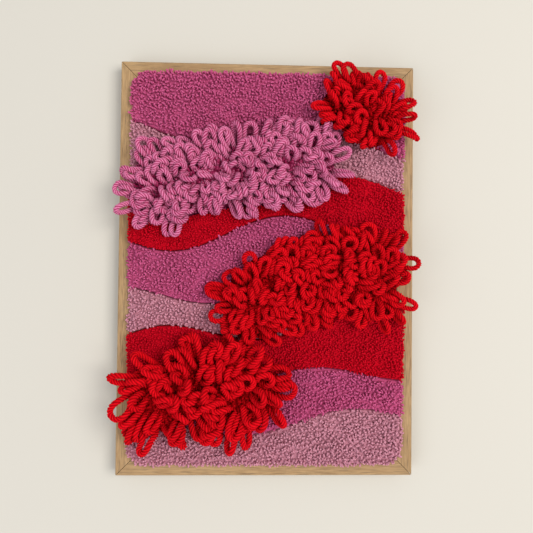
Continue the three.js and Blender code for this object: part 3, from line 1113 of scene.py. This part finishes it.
def pushes(flat, radius, pairs):
    a, b = pairs[:, 0], pairs[:, 1]
    between = flat[b] - flat[a]
    distance = np.maximum(np.linalg.norm(between, axis=1), TINY)
    wanted = TOUCHING * (radius[a] + radius[b])
    overlap = np.maximum(wanted - distance, 0)
    push = between / distance[:, None] * (PUSH * overlap)[:, None]
    moves = np.zeros_like(flat)
    np.add.at(moves, a, -push)
    np.add.at(moves, b, push)
    size = np.maximum(np.linalg.norm(moves, axis=1), TINY)
    moves *= (np.minimum(size, LONGEST_MOVE) / size)[:, None]
    return moves, overlap.max()


def evened(strands, pieces):
    for _ in range(LENGTH_ROUNDS):
        span = np.diff(strands, axis=1)
        size = np.maximum(np.linalg.norm(span, axis=2), TINY)
        fix = span * (0.5 * (size - pieces) / size)[:, :, None]
        strands[:, :-1] += fix * LENGTH_SHARE
        strands[:, 1:] -= fix * LENGTH_SHARE
    middle = (strands[:, :-2] + strands[:, 2:]) / 2
    strands[:, 1:-1] += SMOOTHING * (middle - strands[:, 1:-1])
    return strands


def resting_height(points, radius):
    over_pile = inside_opening(points[:, :2], -PILE_OVERHANG)
    over_frame = (np.abs(points[:, :2]) < OUTER).all(axis=1)
    floor = np.where(over_pile, PILE_TOP, np.where(over_frame, FACE, FACE - DRAPE)) + radius
    for cloud in CLOUDS:
        share, _ = from_line(cloud, points)
        floor = np.where(share < 1, dome_height(share) - DOME_SINK, floor)
    return floor


# %% [markdown]
# The steps are repeated until the loops have settled. The roots stay where they are. A slight pull
# down the picture stands for the weight of the yarn while the piece hung, and a faint memory of its
# first shape keeps a loop from wandering off.

# %% Loops make room for each other
ROUNDS = 36
SEARCH_EVERY = 3
MEMORY = 0.015
SAG = 0.03 * MM
PULL = np.array((0, -SAG, -SAG))
FIXED_ENDS = 2


def relaxed(groups):
    sizes = [len(group) for group in groups]
    points = np.concatenate(groups)
    count = len(points)
    pieces = np.linalg.norm(np.diff(points, axis=1), axis=2)
    owner = np.repeat(np.arange(count), LOOP_POINTS)
    along = np.tile(np.arange(LOOP_POINTS), count)
    radii = [cloud["strand"] * MM / 2 for cloud in CLOUDS]
    radius = np.repeat(np.repeat(radii, sizes), LOOP_POINTS)
    fixed = (along < FIXED_ENDS) | (along >= LOOP_POINTS - FIXED_ENDS)
    free = (~fixed)[:, None]
    home = points.reshape(-1, 3)
    flat = home
    for step in range(ROUNDS):
        if step % SEARCH_EVERY == 0:
            pairs = close_pairs(flat, owner, along)
        moves, deepest = pushes(flat, radius, pairs)
        flat = flat + np.where(free, moves + PULL + MEMORY * (home - flat), 0)
        strands = evened(flat.reshape(count, LOOP_POINTS, 3), pieces)
        flat = np.where(free, strands.reshape(-1, 3), home)
        lifted = np.maximum(flat[:, 2], resting_height(flat, radius))
        flat[:, 2] = np.where(fixed, flat[:, 2], lifted)
    print("deepest overlap left:", round(float(deepest) / MM, 2), "mm in", len(pairs), "pairs")
    return np.split(flat.reshape(count, LOOP_POINTS, 3), np.cumsum(sizes)[:-1])


loops = relaxed(loops)
tops = [round(float(some[:, :, 2].max()) / MM, 1) for some in loops]
print("highest point of each cloud's strands in mm:", tops)

# %% [markdown]
# The yarn is four plies twisted together. Four helices side by side would cost far more faces than
# this: a ring with four lobes that turns as it travels along the strand, so that the lobes become a
# rope. The tree writes the groove value on the ring before the sweep, and the colour then gets
# painted shade between the plies. A fine noise roughens the skin.

# %% Yarn tree
PLIES = 4
RING_POINTS = 3 * PLIES
GROOVE_SHIFT = 0.5
UNEVEN_SCALE = 130.0
UNEVEN_TWIST = 0.5
SKIN_SCALE = 900.0
SKIN_DEPTH = 0.16


def twisted_path(tree, given):
    curves = node(tree, "GeometryNodeMeshToCurve", {"Mesh": given["Geometry"]}).outputs[0]
    smooth = node(tree, "GeometryNodeCurveSplineType", {"Curve": curves}, spline_type="CATMULL_ROM")
    inputs = {"Curve": smooth.outputs[0], "Length": given["Step"]}
    even = node(tree, "GeometryNodeResampleCurve", inputs, mode="LENGTH").outputs[0]
    travelled = node(tree, "GeometryNodeSplineParameter").outputs["Length"]
    turns = math_node(tree, "DIVIDE", travelled, given["Twist Length"])
    turns = plus(tree, turns, times(tree, noise(tree, UNEVEN_SCALE, detail=1.0), UNEVEN_TWIST))
    angle = times(tree, turns, 2 * math.pi)
    return node(tree, "GeometryNodeSetCurveTilt", {"Curve": even, "Tilt": angle}).outputs[0]


def ply_ring(tree, given):
    inputs = {"Resolution": RING_POINTS, "Radius": 1.0}
    circle = node(tree, "GeometryNodeCurvePrimitiveCircle", inputs).outputs[0]
    around = node(tree, "GeometryNodeSplineParameter").outputs["Factor"]
    wave = math_node(tree, "COSINE", times(tree, around, 2 * math.pi * PLIES))
    groove_and_painted_shade = math_node(tree, "DIVIDE", plus(tree, wave, GROOVE_SHIFT), 1 + GROOVE_SHIFT)
    draw_in = minus(tree, 1.0, times(tree, groove_and_painted_shade, given["Lobe Depth"]))
    radius = times(tree, times(tree, draw_in, given["Strand"]), 0.5)
    place = vector_math(tree, "SCALE", point_place(tree), radius)
    # Painted shade: the groove value darkens the colour between the plies; it also pulls the ring in.
    inputs = {"Geometry": store(tree, circle, "groove_and_painted_shade", groove_and_painted_shade), "Position": place}
    return node(tree, "GeometryNodeSetPosition", inputs).outputs[0]


def yarn_tree():
    tree, given, out = geometry_group(
        "plied_yarn",
        [
            ("Strand", NUMBER, 4.0 * MM),
            ("Step", NUMBER, 1.0 * MM),
            ("Twist Length", NUMBER, 8.6 * MM),
            ("Lobe Depth", NUMBER, 0.3),
            ("Material", "NodeSocketMaterial", None),
        ],
    )
    rope = swept(tree, twisted_path(tree, given), ply_ring(tree, given), 1.0)
    skin = noise(tree, SKIN_SCALE, detail=1.0)
    swell = times(tree, minus(tree, skin, NOISE_MIDDLE), SKIN_DEPTH)
    outwards = node(tree, "GeometryNodeInputNormal").outputs[0]
    push = vector_math(tree, "SCALE", outwards, times(tree, swell, given["Strand"]))
    end_tree(tree, moved(tree, rope, push), given, out)
    return tree


YARN = yarn_tree()

# %% [markdown]
# Each cloud's centre lines become one mesh of edges, with a tone for every loop. The tree sweeps
# the rope along all of them, so a cloud is one piece. The step and the twist follow the strand, so
# thick yarn is thin yarn made larger.

# %% Clouds of loops
STEP_SHARE = 0.25
TWIST_SHARE = 2.15
LOBE_DEPTH = 0.3


def strand_lines(name, strands, seed):
    rng = np.random.default_rng(seed)
    count, points, _ = strands.shape
    edges = [(k * points + i, k * points + i + 1) for k in range(count) for i in range(points - 1)]
    mesh = bpy.data.meshes.new(name)
    mesh.from_pydata(strands.reshape(-1, 3).tolist(), edges, [])
    tone_and_painted_light = mesh.attributes.new("tone_and_painted_light", "FLOAT", "POINT")
    tone_and_painted_light.data.foreach_set("value", np.repeat(rng.uniform(0, 1, count), points).astype(np.float32))
    return mesh


for cloud, strands in zip(CLOUDS, loops):
    strand = cloud["strand"] * MM
    values = {
        "Strand": strand,
        "Step": STEP_SHARE * strand,
        "Twist Length": TWIST_SHARE * strand,
        "Lobe Depth": LOBE_DEPTH,
    }
    lines = strand_lines(cloud["name"] + "_lines", strands, cloud["seed"])
    piece = grown(cloud["name"] + "_yarn", lines, YARN, values, YARN_MATERIALS[cloud["yarn"]])
    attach(piece, "root")
    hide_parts(cloud["name"])

# %% [markdown]
# All the yarn now stands on the cloth, which is cut to its flat size and stretched on the panel
# under every field of pile, dome and cloud of loops.

# %% [markdown]
# The piece lies on a plain pale floor. One broad soft light stands to the right and a weaker one
# fills in from the lower left, with a pale sky all round, because wool looks soft in broad light.

# %% Floor and light
FLOOR_HALF = 3
FLOOR_COLOUR = (0.60, 0.57, 0.50, 1)
KEY = {"place": (0.95, 0.15, 1.65), "size": 1.0, "power": 26.0, "colour": (1.0, 0.965, 0.92)}
FILL = {"place": (-1.0, -0.7, 1.3), "size": 1.2, "power": 9.0, "colour": (0.95, 0.97, 1.0)}
SKY_COLOUR = (0.93, 0.95, 1.0, 1)
SKY_STRENGTH = 0.64


def add_floor():
    shape = bmesh.new()
    bmesh.ops.create_grid(shape, x_segments=2, y_segments=2, size=FLOOR_HALF)
    mesh = mesh_of("floor", shape)
    material, _, _ = new_material("floor", Roughness=0.8, Base_Color=FLOOR_COLOUR)
    link_mesh("floor", mesh, material)


def add_light(name, light):
    data = bpy.data.lights.new(name, "AREA")
    data.size = light["size"]
    data.energy = light["power"]
    data.color = light["colour"]
    place = Vector(light["place"])
    turn = (-place).to_track_quat("-Z", "Y").to_matrix().to_4x4()
    link_object(name, data).matrix_world = Matrix.Translation(place) @ turn
    print("the", name, "light stands", round(place.length, 2), "m away")


def add_sky():
    world = bpy.data.worlds.new("sky")
    world.use_nodes = True
    background = next(n for n in world.node_tree.nodes if n.type == "BACKGROUND")
    background.inputs["Color"].default_value = SKY_COLOUR
    background.inputs["Strength"].default_value = SKY_STRENGTH
    bpy.context.scene.world = world


add_floor()
add_light("key", KEY)
add_light("fill", FILL)
add_sky()
bpy.context.scene.view_settings.view_transform = "Standard"

# %% [markdown]
# Last, the view layer is brought up to date. The box of all that is seen differs from that of the
# CAD model only by the loose yarn, which lies a little differently from its solids.

# %% The end
bpy.context.view_layer.update()
